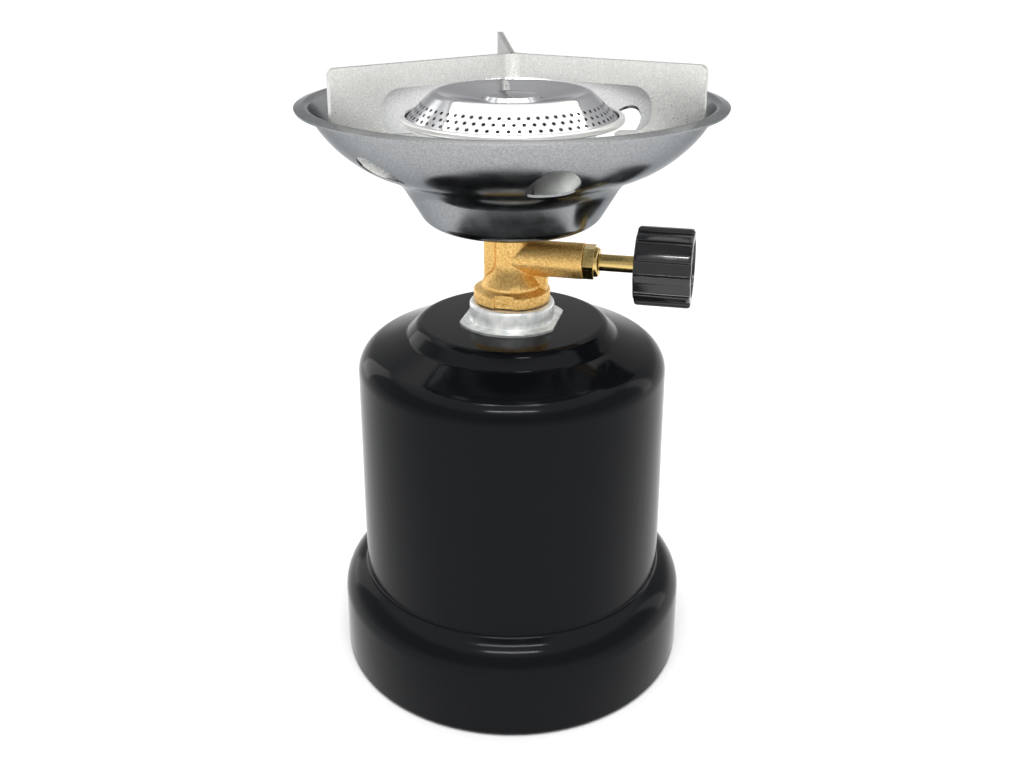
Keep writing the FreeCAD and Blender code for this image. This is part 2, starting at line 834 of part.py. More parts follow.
def arm_turned(label, corners):
    """A piece turned about the arm's axis."""
    body = new_body(label)
    section = sketch_on(body, label + "_section", "XZ_Plane", y=arm_height)
    outline(section, corners)
    turn(body, section, axis="H_Axis")
    return body


stem_thread_radius = size("stem_bore_radius") - size("stem_running_gap")
needle_start = seat_reach + size("needle_gap")
needle_end = needle_start + size("needle_length")
thread_start = needle_end + size("needle_neck_length")
thread_end = gland_floor - size("stem_thread_margin")
groove_start = thread_start + size("ring_groove_inset")
groove_end = groove_start + size("ring_groove_width")
knob_start = arm_length + size("knob_stand_off")
spindle_end = knob_start + size("spindle_in_knob")

arm_turned("control_spindle", [
    (needle_start, 0),
    (needle_start, size("needle_tip_radius")),
    (needle_end, size("needle_root_radius")),
    (thread_start, size("needle_root_radius")),
    (thread_start, stem_thread_radius),
    (groove_start, stem_thread_radius),
    (groove_start, size("ring_groove_radius")),
    (groove_end, size("ring_groove_radius")),
    (groove_end, stem_thread_radius),
    (thread_end, stem_thread_radius),
    (thread_end, size("spindle_radius")),
    (spindle_end, size("spindle_radius")),
    (spindle_end, 0),
])

ring_start = groove_start + size("ring_side_gap")
ring_end = groove_end - size("ring_side_gap")
ring_inner = size("ring_groove_radius") + size("stem_running_gap")
ring_outer = size("stem_bore_radius") - size("stem_running_gap")
arm_turned("stem_o_ring", [
    (ring_start, ring_inner),
    (ring_start, ring_outer),
    (ring_end, ring_outer),
    (ring_end, ring_inner),
])

gland_clearance = size("spindle_radius") + size("stem_running_gap")
packing_outer = size("gland_bore_radius") - size("thread_gap")
packing_start = gland_floor + size("packing_gap")
packing_end = packing_start + size("packing_length")
arm_turned("gland_packing", [
    (packing_start, gland_clearance),
    (packing_start, packing_outer),
    (packing_end, packing_outer),
    (packing_end, gland_clearance),
])

nose_start = packing_end + size("packing_gap")
hex_start = arm_length + size("fit_gap")
hex_end = hex_start + size("nut_hex_length")
dome_end = hex_end + size("nut_dome_length")
gland_nut = arm_turned("gland_nut", [
    (nose_start, gland_clearance),
    (nose_start, packing_outer),
    (hex_start, packing_outer),
    (hex_start, size("nut_dome_radius")),
    (dome_end, size("nut_dome_radius"), size("nut_dome_round")),
    (dome_end, gland_clearance),
])
nut_hex = sketch_on(gland_nut, "nut_hex", "YZ_Plane", z=hex_start)
hexagon(nut_hex, size("nut_hex_flats"), 0, arm_height)
circle(nut_hex, 0, arm_height, gland_clearance)
pad(gland_nut, nut_hex, size("nut_hex_length"))

# Knob: a plastic cap on a hub, hollow towards the valve and dished on its face, with wide flutes
# that leave narrow ribs to grip

knob_end = knob_start + size("knob_length")
knob_radius = size("knob_radius")
knob_inner = knob_radius - size("flute_depth") - size("knob_wall")
hollow_end = knob_start + size("knob_hollow_depth")
knob_bore = size("spindle_radius") + size("knob_bore_gap")
knob_bore_end = spindle_end + size("knob_bore_end_gap")

knob = arm_turned("knob", [
    (knob_start, knob_bore),
    (knob_start, size("knob_hub_radius")),
    (hollow_end, size("knob_hub_radius")),
    (hollow_end, knob_inner),
    (knob_start, knob_inner),
    (knob_start, knob_radius, size("knob_end_round")),
    (knob_end, knob_radius, size("knob_end_round")),
    (knob_end, size("knob_face_radius")),
    (knob_end - size("knob_face_depth"), size("knob_face_radius")),
    (knob_end - size("knob_face_depth"), 0),
    (knob_bore_end, 0),
    (knob_bore_end, knob_bore),
])
flute = sketch_on(knob, "flute", "YZ_Plane", y=arm_height, z=knob_start - overshoot)
flute.AttachmentOffset = FreeCAD.Placement(
    flute.AttachmentOffset.Base, FreeCAD.Rotation(FreeCAD.Vector(0, 0, 1), 1))
flute.setExpression("AttachmentOffset.Rotation.Angle", size("flute_turn").text)
flute_floor = knob_radius - size("flute_depth")
half_floor = size("flute_floor_width") / 2
half_mouth = size("flute_mouth_width") / 2
outline(flute, [
    (-half_floor, flute_floor),
    (half_floor, flute_floor),
    (half_mouth, knob_radius + overshoot),
    (-half_mouth, knob_radius + overshoot),
])
flute_cut = pocket(knob, flute, size("knob_length") + overshoot * 2, reverse=True)
repeat_round(knob, flute_cut, size("flute_count"), (flute, ["N_Axis"]))

# Bowl: a bright pressing with a flat seat, a steep cup, a wide dish, a wall and a turned-out lip,
# punched with a ring of round vents. Its corners follow from their radii and the slopes between.

bowl_sheet = size("bowl_sheet")
floor_radius = size("bowl_floor_radius")
cup_radius = size("bowl_cup_radius")
crease_radius = size("bowl_crease_radius")
bend_radius = size("bowl_bend_radius")
bowl_wall_radius = size("bowl_wall_radius")
bowl_rim_radius = size("bowl_rim_radius")
dish_slope = size("bowl_dish_slope")
bowl_wall_slope = size("bowl_wall_slope")
cup_height = column_top + (cup_radius - floor_radius) * tangent(size("bowl_floor_slope"))
crease_height = cup_height + (crease_radius - cup_radius) * tangent(size("bowl_cup_slope"))
bend_height = crease_height + (bend_radius - crease_radius) * tangent(dish_slope)
lip_height = bend_height + (bowl_wall_radius - bend_radius) * tangent(bowl_wall_slope)
rim_height = lip_height - (bowl_rim_radius - bowl_wall_radius) * tangent(size("bowl_lip_slope"))

bowl = pressed("bowl", [
    (size("bowl_hole_radius"), column_top),
    (floor_radius, column_top, size("bowl_floor_round")),
    (cup_radius, cup_height, size("bowl_cup_round")),
    (crease_radius, crease_height, size("bowl_crease_round")),
    (bend_radius, bend_height, size("bowl_bend_round")),
    (bowl_wall_radius, lip_height, size("bowl_lip_round")),
    (bowl_rim_radius, rim_height),
], bowl_sheet, 1)
punch = sketch_on(bowl, "vent_punch", "XY_Plane", z=crease_height)
vent_azimuth = size("vent_azimuth")
circle(punch, size("vent_circle") * cosine(vent_azimuth), size("vent_circle") * sine(vent_azimuth),
       size("vent_radius"))
punch_cut = pocket(bowl, punch, lip_height - crease_height, reverse=True)
repeat_round(bowl, punch_cut, size("vent_count"))

# Washer and lock nut: they clamp the bowl on the column, and the nut's collar takes the tube

bore = size("bowl_hole_radius")
washer_bottom = column_top + bowl_sheet
ring("bowl_washer", bore, size("washer_radius"), washer_bottom, size("washer_height"))

nut_bottom = washer_bottom + size("washer_height")
nut_top = nut_bottom + size("lock_nut_height")
tube_inner = size("tube_radius") - size("tube_wall")
nut_bore = size("spigot_radius") + size("thread_gap")
lock_nut = ring("bowl_lock_nut", nut_bore, tube_inner - size("fit_gap") / 2, nut_bottom,
                size("lock_nut_height") + size("lock_nut_collar_height"))
nut_outline = sketch_on(lock_nut, "lock_nut_hex", "XY_Plane", z=nut_bottom)
hexagon(nut_outline, size("lock_nut_flats"))
circle(nut_outline, 0, 0, nut_bore)
pad(lock_nut, nut_outline, size("lock_nut_height"))

# Mixing tube: it stands on the lock nut over the jet, and draws air in through its side holes

tube_top = column_top + size("tube_rise")
tube = ring("mixing_tube", tube_inner, size("tube_radius"), nut_top, tube_top - nut_top)
air_hole = sketch_on(tube, "air_hole", "YZ_Plane")
circle(air_hole, 0, column_top + size("air_hole_rise"), size("air_hole_radius"))
air_cut = pocket(tube, air_hole, size("tube_radius") + overshoot, reverse=True)
repeat_round(tube, air_cut, size("air_hole_count"))

# Burner pan: a funnel on the mixing tube whose edge is curled over the cap's flange

pan_sheet = size("pan_sheet")
neck_radius = size("tube_radius") + pan_sheet + size("fit_gap") / 2
pan_rim = size("pan_rim_radius")
neck_bottom = column_top + size("pan_neck_rise")
rim_bottom = column_top + size("pan_rim_rise")
curl_top = rim_bottom + size("pan_curl_height")

pressed("burner_pan", [
    (neck_radius, neck_bottom),
    (neck_radius, neck_bottom + size("pan_neck_length"), size("pan_neck_round")),
    (size("pan_floor_radius"), rim_bottom, size("pan_floor_round")),
    (pan_rim, rim_bottom, size("pan_curl_round")),
    (pan_rim, curl_top, size("pan_curl_round")),
    (pan_rim - size("pan_curl_width"), curl_top),
], pan_sheet, 1)

# Burner cap: a perforated cone band up to a rounded shoulder, and a shallow dish with a raised
# boss in the middle. The flame holes stand in three staggered rows, square to the band.

cap_sheet = size("cap_sheet")
flange_top = rim_bottom + pan_sheet + size("fit_gap") + cap_sheet
band_radius = size("cap_band_radius")
shoulder_radius = size("cap_shoulder_radius")
shoulder_height = rim_bottom + size("cap_shoulder_rise")
dish_height = rim_bottom + size("cap_dish_rise")

cap = pressed("burner_cap", [
    (size("cap_flange_radius"), flange_top),
    (band_radius, flange_top, size("cap_band_round")),
    (shoulder_radius, shoulder_height, size("cap_shoulder_round")),
    (size("cap_dish_radius"), dish_height, size("cap_dish_round")),
    (size("cap_boss_radius"), dish_height + size("cap_boss_rise"), size("cap_boss_round")),
    (0, dish_height + size("cap_boss_rise")),
], cap_sheet, 1)
band_rise = shoulder_height - flange_top
band_run = band_radius - shoulder_radius
row_radius = size("flame_row_radius")
row_height = flange_top + (band_radius - row_radius) * band_rise / band_run
holes = sketch_on(cap, "flame_holes", "XY_Plane", x=row_radius, z=row_height)
holes.AttachmentOffset = FreeCAD.Placement(
    holes.AttachmentOffset.Base, FreeCAD.Rotation(FreeCAD.Vector(0, 1, 0), 1))
holes.setExpression("AttachmentOffset.Rotation.Angle",
                    "atan(%s / %s)" % (band_rise.text, band_run.text))
row_pitch = size("flame_row_pitch")
half_step = row_radius * sine(as_size(180) / size("flame_hole_count"))
for along, across in ((-row_pitch, as_size(0)), (as_size(0), half_step), (row_pitch, as_size(0))):
    circle(holes, along, across, size("flame_hole_radius"))
doc.recompute()
flame_cut = pocket(cap, holes, (cap_sheet + overshoot) * 2, middle=True)
repeat_round(cap, flame_cut, size("flame_hole_count"))

# Pot support: each plate is folded over a third of a turn, with a leaf in two wings. A leaf has
# a top bar, an outer leg and a foot that follows the inside of the bowl under the burner.

support_sheet = size("support_sheet")
half_gap = size("support_plate_gap") / 2
reach = size("support_reach")
support_top = column_top + size("support_rise")
leg_radius = size("support_leg_radius")
foot_height = column_top + size("support_foot_height")
foot_radius = size("support_foot_radius")
heel_radius = size("support_heel_radius")
window_round = size("support_window_round")
bar_bottom = support_top - size("support_bar_height")
support_floor = crease_height - overshoot
wing_angle = as_size(360) / size("support_count")
fold_reach = half_gap / tangent(wing_angle / 2)
strip_reach = reach + overshoot
seat_offset = bowl_sheet + size("support_seat_gap")
mean_slope = (bowl_wall_slope + dish_slope) / 2
half_bend = (bowl_wall_slope - dish_slope) / 2
seat_bend_radius = bend_radius - seat_offset * sine(mean_slope) / cosine(half_bend)
seat_bend_height = bend_height + seat_offset * cosine(mean_slope) / cosine(half_bend)
seat_outer_height = seat_bend_height + (reach - seat_bend_radius) * tangent(bowl_wall_slope)
heel_height = seat_bend_height - (seat_bend_radius - heel_radius) * tangent(dish_slope)


def support_plate(number):
    """One folded plate of the pot support, turned to its place about the burner's axis."""
    label = "support_plate_%d" % (number + 1)
    body = new_body(label)
    fold = sketch_on(body, label + "_fold", "XY_Plane", z=support_floor)
    sheet_outline(fold, [
        (strip_reach, half_gap),
        (fold_reach, half_gap, size("support_bend_radius") + support_sheet),
        (strip_reach * cosine(wing_angle) + half_gap * sine(wing_angle),
         strip_reach * sine(wing_angle) - half_gap * cosine(wing_angle)),
    ], support_sheet, -1)
    pad(body, fold, support_top - support_floor)
    cut_edge = sketch_on(body, label + "_profile", "XZ_Plane")
    outline(cut_edge, [
        (0, support_floor - overshoot),
        (strip_reach + overshoot, support_floor - overshoot),
        (strip_reach + overshoot, support_top + overshoot),
        (reach - size("support_top_round") - overshoot, support_top + overshoot),
        (reach - size("support_top_round") - overshoot, support_top),
        (reach, support_top, size("support_top_round")),
        (reach, seat_outer_height),
        (seat_bend_radius, seat_bend_height, size("bowl_bend_round") - seat_offset),
        (heel_radius, heel_height),
        (foot_radius, foot_height - size("support_foot_end_drop")),
        (foot_radius, foot_height, size("support_foot_round")),
        (leg_radius, foot_height + size("support_foot_rise"), window_round),
        (leg_radius, bar_bottom, window_round),
        (0, bar_bottom),
    ])
    turn(body, cut_edge, kind="PartDesign::Groove")
    body.Placement = FreeCAD.Placement(
        FreeCAD.Vector(0, 0, 0), FreeCAD.Rotation(FreeCAD.Vector(0, 0, 1), 1))
    step = size("support_azimuth") + wing_angle * number
    body.setExpression("Placement.Rotation.Angle", step.text)
    return body


for number in range(int(size("support_count").value)):
    support_plate(number)

# Checks and export

doc.recompute()
broken = [thing.Label for thing in doc.Objects if "Invalid" in thing.State or "Error" in thing.State]
for part in parts:
    if part.Shape.isNull() or not part.Shape.isValid() or not part.Shape.Solids:
        broken.append(part.Label)
if broken:
    raise RuntimeError("these objects are broken: " + ", ".join(broken))

os.makedirs("parts", exist_ok=True)
for part in parts:
    part.Shape.exportStep("parts/%s.step" % part.Label)
    print(part.Label, len(part.Shape.Solids), round(part.Shape.Volume, 2))
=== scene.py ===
"""The looks of a butane camping stove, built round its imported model: a black enamelled housing, a
forged brass valve with its knob, and a bright bowl, burner and pot support."""

import math

import bmesh
import bpy
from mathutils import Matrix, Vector


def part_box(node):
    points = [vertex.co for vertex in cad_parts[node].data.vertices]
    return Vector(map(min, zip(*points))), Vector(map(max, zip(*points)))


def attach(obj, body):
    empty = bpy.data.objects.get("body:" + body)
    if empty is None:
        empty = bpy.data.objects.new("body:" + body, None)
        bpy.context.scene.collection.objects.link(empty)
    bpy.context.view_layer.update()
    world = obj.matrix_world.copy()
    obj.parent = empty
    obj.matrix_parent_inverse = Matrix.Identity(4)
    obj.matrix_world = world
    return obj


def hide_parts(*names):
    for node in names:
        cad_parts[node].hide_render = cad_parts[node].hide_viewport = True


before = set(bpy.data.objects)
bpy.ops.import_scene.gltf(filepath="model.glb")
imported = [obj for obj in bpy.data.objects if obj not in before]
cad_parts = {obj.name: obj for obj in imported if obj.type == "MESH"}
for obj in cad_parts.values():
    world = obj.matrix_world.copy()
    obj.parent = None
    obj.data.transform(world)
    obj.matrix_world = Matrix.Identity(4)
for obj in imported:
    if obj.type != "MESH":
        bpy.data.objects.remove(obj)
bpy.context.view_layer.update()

# Housing: one deep-drawn steel pressing with a flared base, a neck, a straight wall and a raised
# boss. It is dipped in semi-gloss black enamel, and its turned-in lip has three slots, punched
# before the enamel, that let the base plate's lugs through.

MM = 0.001


def pick_ring(radius, height, slack=0.02 * MM):
    """Selects, in edit mode, the ring of edges at that radius and height."""
    bpy.ops.mesh.select_all(action="DESELECT")
    mesh = bmesh.from_edit_mesh(bpy.context.edit_object.data)
    for edge in mesh.edges:
        ends = [math.hypot(corner.co.x, corner.co.y) for corner in edge.verts]
        level = all(abs(corner.co.z - height) < slack for corner in edge.verts)
        if level and all(abs(end - radius) < slack for end in ends):
            edge.select_set(True)
    bmesh.update_edit_mesh(bpy.context.edit_object.data)


def face_the_path(start, end):
    """Turns a sheet's faces to the right-hand side of its path, which begins from start to end."""
    run = end[0] - start[0]
    rise = end[1] - start[1]
    mesh = bmesh.from_edit_mesh(bpy.context.edit_object.data)
    mesh.normal_update()

    def distance(face):
        centre = face.calc_center_median()
        radius = math.hypot(centre.x, centre.y)
        return math.hypot(radius - (start[0] + end[0]) / 2, centre.z - (start[1] + end[1]) / 2)

    face = min(mesh.faces, key=distance)
    centre = face.calc_center_median()
    outward = (face.normal.x * centre.x + face.normal.y * centre.y) / centre.xy.length
    if outward * rise - face.normal.z * run < 0:
        bpy.ops.mesh.select_all(action="SELECT")
        bpy.ops.mesh.flip_normals()


def apply_modifier(piece, modifier):
    bpy.ops.object.select_all(action="DESELECT")
    piece.select_set(True)
    bpy.context.view_layer.objects.active = piece
    bpy.ops.object.modifier_apply(modifier=modifier.name)


def press_sheet(name, rings, sheet, sides=192, steps=8):
    """A round pressing: an open circle drawn out through rings (radius, height, corner round)."""
    bpy.ops.object.select_all(action="DESELECT")
    bpy.ops.mesh.primitive_circle_add(vertices=sides, radius=rings[0][0])
    piece = bpy.context.object
    piece.name = name
    bpy.ops.object.mode_set(mode="EDIT")
    bpy.ops.mesh.select_all(action="SELECT")
    bpy.ops.transform.translate(value=(0, 0, rings[0][1]))
    for before, after in zip(rings, rings[1:]):
        rise = (0, 0, after[1] - before[1])
        bpy.ops.mesh.extrude_region_move(TRANSFORM_OT_translate={"value": rise})
        if after[0]:
            widen = after[0] / before[0]
            bpy.ops.transform.resize(value=(widen, widen, 1), center_override=(0, 0, after[1]))
        else:
            bpy.ops.mesh.merge(type="CENTER")
    face_the_path(rings[0], rings[1])
    for before, corner, after in zip(rings, rings[1:], rings[2:]):
        if corner[2]:
            first = math.atan2(corner[1] - before[1], corner[0] - before[0])
            second = math.atan2(after[1] - corner[1], after[0] - corner[0])
            bend = abs((second - first + math.pi) % (2 * math.pi) - math.pi)
            pick_ring(corner[0], corner[1])
            bpy.ops.mesh.bevel(offset=corner[2] * math.tan(bend / 2), segments=steps, affect="EDGES")
    bpy.ops.object.mode_set(mode="OBJECT")
    wall = piece.modifiers.new("wall", "SOLIDIFY")
    wall.thickness = sheet
    wall.offset = -1
    wall.use_even_offset = True
    apply_modifier(piece, wall)
    return piece


def cut(piece, cutter):
    """Takes the cutter out of the piece, and deletes it."""
    knife = piece.modifiers.new("cut", "BOOLEAN")
    knife.operation = "DIFFERENCE"
    knife.solver = "EXACT"
    knife.object = cutter
    apply_modifier(piece, knife)
    bpy.data.objects.remove(cutter)


def smooth(piece, angle=35):
    """Clears slivers off the piece, and shades it smooth but for its sharp edges."""
    bpy.ops.object.select_all(action="DESELECT")
    piece.select_set(True)
    bpy.context.view_layer.objects.active = piece
    bpy.ops.object.mode_set(mode="EDIT")
    bpy.ops.mesh.select_all(action="SELECT")
    bpy.ops.mesh.dissolve_degenerate(threshold=0.002 * MM)
    bpy.ops.object.mode_set(mode="OBJECT")
    bpy.ops.object.shade_smooth_by_angle(angle=math.radians(angle))


def new_finish(name, colour, metallic, roughness):
    """A material and its shader, with the numbers that are the same all over set on its sockets."""
    finish = bpy.data.materials.new(name)
    finish.use_nodes = True
    shader = finish.node_tree.nodes["Principled BSDF"]
    shader.inputs["Base Color"].default_value = (*colour, 1)
    shader.inputs["Metallic"].default_value = metallic
    shader.inputs["Roughness"].default_value = roughness
    return finish, shader


def add_noise(finish, scale, detail=4, stretch=(1, 1, 1)):
    """Noise on the piece's own coordinates: scale is in lumps per metre."""
    nodes, links = finish.node_tree.nodes, finish.node_tree.links
    place = nodes.new("ShaderNodeTexCoord")
    mapping = nodes.new("ShaderNodeMapping")
    mapping.inputs["Scale"].default_value = stretch
    noise = nodes.new("ShaderNodeTexNoise")
    noise.inputs["Scale"].default_value = scale
    noise.inputs["Detail"].default_value = detail
    links.new(place.outputs["Object"], mapping.inputs["Vector"])
    links.new(mapping.outputs["Vector"], noise.inputs["Vector"])
    return noise.outputs["Fac"]


def vary_gloss(finish, shader, fac, low, high):
    """The roughness goes from low to high with the noise."""
    spread = finish.node_tree.nodes.new("ShaderNodeMapRange")
    spread.inputs["From Min"].default_value = 0.35
    spread.inputs["From Max"].default_value = 0.65
    spread.inputs["To Min"].default_value = low
    spread.inputs["To Max"].default_value = high
    finish.node_tree.links.new(fac, spread.inputs["Value"])
    finish.node_tree.links.new(spread.outputs["Result"], shader.inputs["Roughness"])


def vary_colour(finish, shader, fac, dark, light):
    """The colour goes from dark to light with the noise. Returns the colour's socket."""
    ramp = finish.node_tree.nodes.new("ShaderNodeValToRGB")
    ramp.color_ramp.elements[0].position = 0.35
    ramp.color_ramp.elements[0].color = (*dark, 1)
    ramp.color_ramp.elements[1].position = 0.65
    ramp.color_ramp.elements[1].color = (*light, 1)
    finish.node_tree.links.new(fac, ramp.inputs["Fac"])
    finish.node_tree.links.new(ramp.outputs["Color"], shader.inputs["Base Color"])
    return ramp.outputs["Color"]


def add_grain(finish, shader, fac, depth, strength=1.0):
    """The noise raises the surface by up to depth."""
    bump = finish.node_tree.nodes.new("ShaderNodeBump")
    bump.inputs["Distance"].default_value = depth
    bump.inputs["Strength"].default_value = strength
    finish.node_tree.links.new(fac, bump.inputs["Height"])
    finish.node_tree.links.new(bump.outputs["Normal"], shader.inputs["Normal"])


def paint(piece, finish):
    piece.data.materials.clear()
    piece.data.materials.append(finish)


def paint_node(node, finish):
    """Gives a CAD node that stays in view its material."""
    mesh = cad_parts[node].data
    if not mesh.materials:
        mesh.materials.append(finish)
    for index in range(len(mesh.materials)):
        mesh.materials[index] = finish


def stand_for(piece, body, node):
    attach(piece, body)
    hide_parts(node)


housing_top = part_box("housing_shell")[1]
base_radius = housing_top.x
boss_height = housing_top.z
wall_radius = 46.8 * MM
neck_height = 29.3 * MM
base_top = 25.99 * MM
crown_height = 100.49 * MM
boss_foot_radius = 32.0 * MM
boss_foot_height = boss_height - 4.2 * MM
boss_edge_radius = 28.2 * MM
collar_hole = 11.6 * MM
lip_radius = 49.3 * MM
housing_sheet = 0.8 * MM
slot_width = 23.0 * MM
slot_edge = 50.76 * MM
slot_reach = 5.0 * MM
slot_azimuth = -35

housing = press_sheet("housing_enamelled", [
    (lip_radius, 0, 0),
    (base_radius, 0, 1.6 * MM),
    (base_radius, base_top, 9.0 * MM),
    (wall_radius, neck_height, 1.2 * MM),
    (wall_radius, crown_height, 7.5 * MM),
    (boss_foot_radius, boss_foot_height, 2.0 * MM),
    (boss_edge_radius, boss_height, 3.5 * MM),
    (collar_hole, boss_height, 0),
], housing_sheet, sides=256)
for third in range(3):
    turn = math.radians(slot_azimuth + 120 * third)
    reach = slot_edge - slot_reach / 2
    bpy.ops.object.select_all(action="DESELECT")
    bpy.ops.mesh.primitive_cube_add(
        size=1, location=(reach * math.cos(turn), reach * math.sin(turn), 0),
        rotation=(0, 0, turn), scale=(slot_reach, slot_width, housing_sheet * 2))
    cut(housing, bpy.context.object)
smooth(housing)

enamel, shader = new_finish("black_enamel", (0.0032, 0.0037, 0.0047), 0, 0.13)
shader.inputs["Specular IOR Level"].default_value = 0.095
vary_gloss(enamel, shader, add_noise(enamel, 45, detail=5), 0.1, 0.16)
add_grain(enamel, shader, add_noise(enamel, 420, detail=2), 0.03 * MM, 0.3)
paint(housing, enamel)
stand_for(housing, "housing", "housing_shell")

# Base plate and cartridge: the enamelled plate turns on three lugs inside the lip and carries
# the can. Both are seen only from below, and keep their solids.

paint_node("base_plate", enamel)
can_paint, shader = new_finish("can_lacquer", (0.62, 0.64, 0.67), 0.4, 0.35)
vary_gloss(can_paint, shader, add_noise(can_paint, 80), 0.3, 0.42)
paint_node("gas_cartridge", can_paint)

# Collar and bush: a dull zinc-plated pressing on the boss, with flats trimmed on two sides, and
# the steel bush inside it that the valve screws into. The plating is cloudy.

collar_low, collar_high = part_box("threaded_collar")
collar_sheet = 0.7 * MM
collar_radius = 12.8 * MM
collar_mouth = 9.8 * MM
flange_radius = 16.4 * MM
flat_reach = 14.2 * MM

collar = press_sheet("collar_zinc", [
    (flange_radius, collar_low.z + collar_sheet, 0),
    (collar_radius, collar_low.z + collar_sheet, 0.35 * MM),
    (collar_radius, collar_high.z, 1.15 * MM),
    (collar_mouth, collar_high.z, 0),
], collar_sheet, sides=128)
for side in (-1, 1):
    bpy.ops.object.select_all(action="DESELECT")
    bpy.ops.mesh.primitive_cube_add(
        size=1, location=(side * (flat_reach + flange_radius / 2), 0, collar_low.z),
        scale=(flange_radius, flange_radius * 3, collar_sheet * 4))
    cut(collar, bpy.context.object)
smooth(collar)

zinc, shader = new_finish("cloudy_zinc", (0.85, 0.86, 0.84), 0.8, 0.4)
vary_colour(zinc, shader, add_noise(zinc, 380, detail=5, stretch=(1, 1, 0.6)),
            (0.7, 0.73, 0.73), (0.98, 0.98, 0.95))
vary_gloss(zinc, shader, add_noise(zinc, 600, detail=4), 0.3, 0.5)
add_grain(zinc, shader, add_noise(zinc, 2600, detail=2), 0.015 * MM, 0.4)
paint(collar, zinc)
stand_for(collar, "housing", "threaded_collar")

steel, shader = new_finish("plain_steel", (0.5, 0.5, 0.51), 1, 0.35)
vary_gloss(steel, shader, add_noise(steel, 300, stretch=(1, 1, 12)), 0.28, 0.42)
paint_node("threaded_bush", steel)

# Valve body: a hot brass forging, sand-blasted all over, so its edges and the roots of its fin,
# web and arm are soft. The thread of its shank shows when the head is unscrewed. The jet, the
# filter, the pin and the seals in it keep their solids.


def copy_node(node, name):
    """An own copy of a CAD node with its loose triangles welded."""
    bpy.ops.object.select_all(action="DESELECT")
    piece = bpy.data.objects.new(name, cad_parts[node].data.copy())
    bpy.context.scene.collection.objects.link(piece)
    piece.select_set(True)
    bpy.context.view_layer.objects.active = piece
    bpy.ops.object.mode_set(mode="EDIT")
    bpy.ops.mesh.select_all(action="SELECT")
    bpy.ops.mesh.remove_doubles(threshold=0.001 * MM)
    bpy.ops.object.mode_set(mode="OBJECT")
    if piece.data.has_custom_normals:
        bpy.ops.mesh.customdata_custom_splitnormals_clear()
    return piece


def soften_skin(piece, voxel, passes, share):
    """Rounds every edge a little, as blasting or moulding does, and thins the mesh to a share."""
    skin = piece.modifiers.new("skin", "REMESH")
    skin.mode = "VOXEL"
    skin.voxel_size = voxel
    apply_modifier(piece, skin)
    soften = piece.modifiers.new("soften", "SMOOTH")
    soften.factor = 0.5
    soften.iterations = passes
    apply_modifier(piece, soften)
    thin = piece.modifiers.new("thin", "DECIMATE")
    thin.ratio = share
    apply_modifier(piece, thin)


thread_pitch = 2.0 * MM
thread_turns = 6
thread_steps = 48
thread_depth = 1.1 * MM
shank_radius = 9.0 * MM
shank_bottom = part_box("valve_body")[0].z

bpy.ops.object.select_all(action="DESELECT")
bpy.ops.mesh.primitive_circle_add(vertices=3, radius=thread_depth, fill_type="NGON")
groove = bpy.context.object
bpy.ops.object.mode_set(mode="EDIT")
bpy.ops.mesh.select_all(action="SELECT")
for turn_axis, quarter in (("X", -90), ("Y", 90)):
    bpy.ops.transform.rotate(value=math.radians(quarter), orient_axis=turn_axis,
                             center_override=(0, 0, 0))
bpy.ops.transform.translate(value=(shank_radius, 0, shank_bottom - thread_pitch / 2))
bpy.ops.object.mode_set(mode="OBJECT")
helix = groove.modifiers.new("helix", "SCREW")
helix.screw_offset = thread_pitch
helix.iterations = thread_turns
helix.steps = thread_steps
helix.render_steps = thread_steps
apply_modifier(groove, helix)
bpy.ops.object.mode_set(mode="EDIT")
bpy.ops.mesh.select_all(action="DESELECT")
bpy.ops.mesh.select_non_manifold()
bpy.ops.mesh.fill_holes(sides=4)
bpy.ops.mesh.select_all(action="SELECT")
bpy.ops.mesh.normals_make_consistent(inside=False)
bpy.ops.object.mode_set(mode="OBJECT")

valve = copy_node("valve_body", "valve_forging")
cut(valve, groove)
soften_skin(valve, 0.17 * MM, 2, 0.45)
smooth(valve, 180)

forged, shader = new_finish("sand_blasted_brass", (0.8, 0.5, 0.17), 1, 0.42)
vary_colour(forged, shader, add_noise(forged, 1700, detail=8), (0.68, 0.4, 0.11), (0.98, 0.67, 0.26))
vary_gloss(forged, shader, add_noise(forged, 900, detail=6), 0.36, 0.52)
add_grain(forged, shader, add_noise(forged, 2400, detail=5), 0.1 * MM, 0.8)
paint(valve, forged)
stand_for(valve, "burner_head", "valve_body")

turned_brass, shader = new_finish("turned_brass", (0.66, 0.48, 0.18), 1, 0.2)
vary_gloss(turned_brass, shader, add_noise(turned_brass, 500, stretch=(14, 1, 1)), 0.14, 0.28)
for node in ("injector_jet", "gas_filter"):
    paint_node(node, turned_brass)
paint_node("piercing_pin", steel)
rubber, shader = new_finish("black_rubber", (0.02, 0.02, 0.02), 0, 0.7)
vary_gloss(rubber, shader, add_noise(rubber, 900), 0.6, 0.8)
for node in ("sealing_gasket", "stem_o_ring", "gland_packing"):
    paint_node(node, rubber)

# Gland nut and spindle: both turned from brass rod, glossy and slightly greener than the forging,
# with their edges broken.


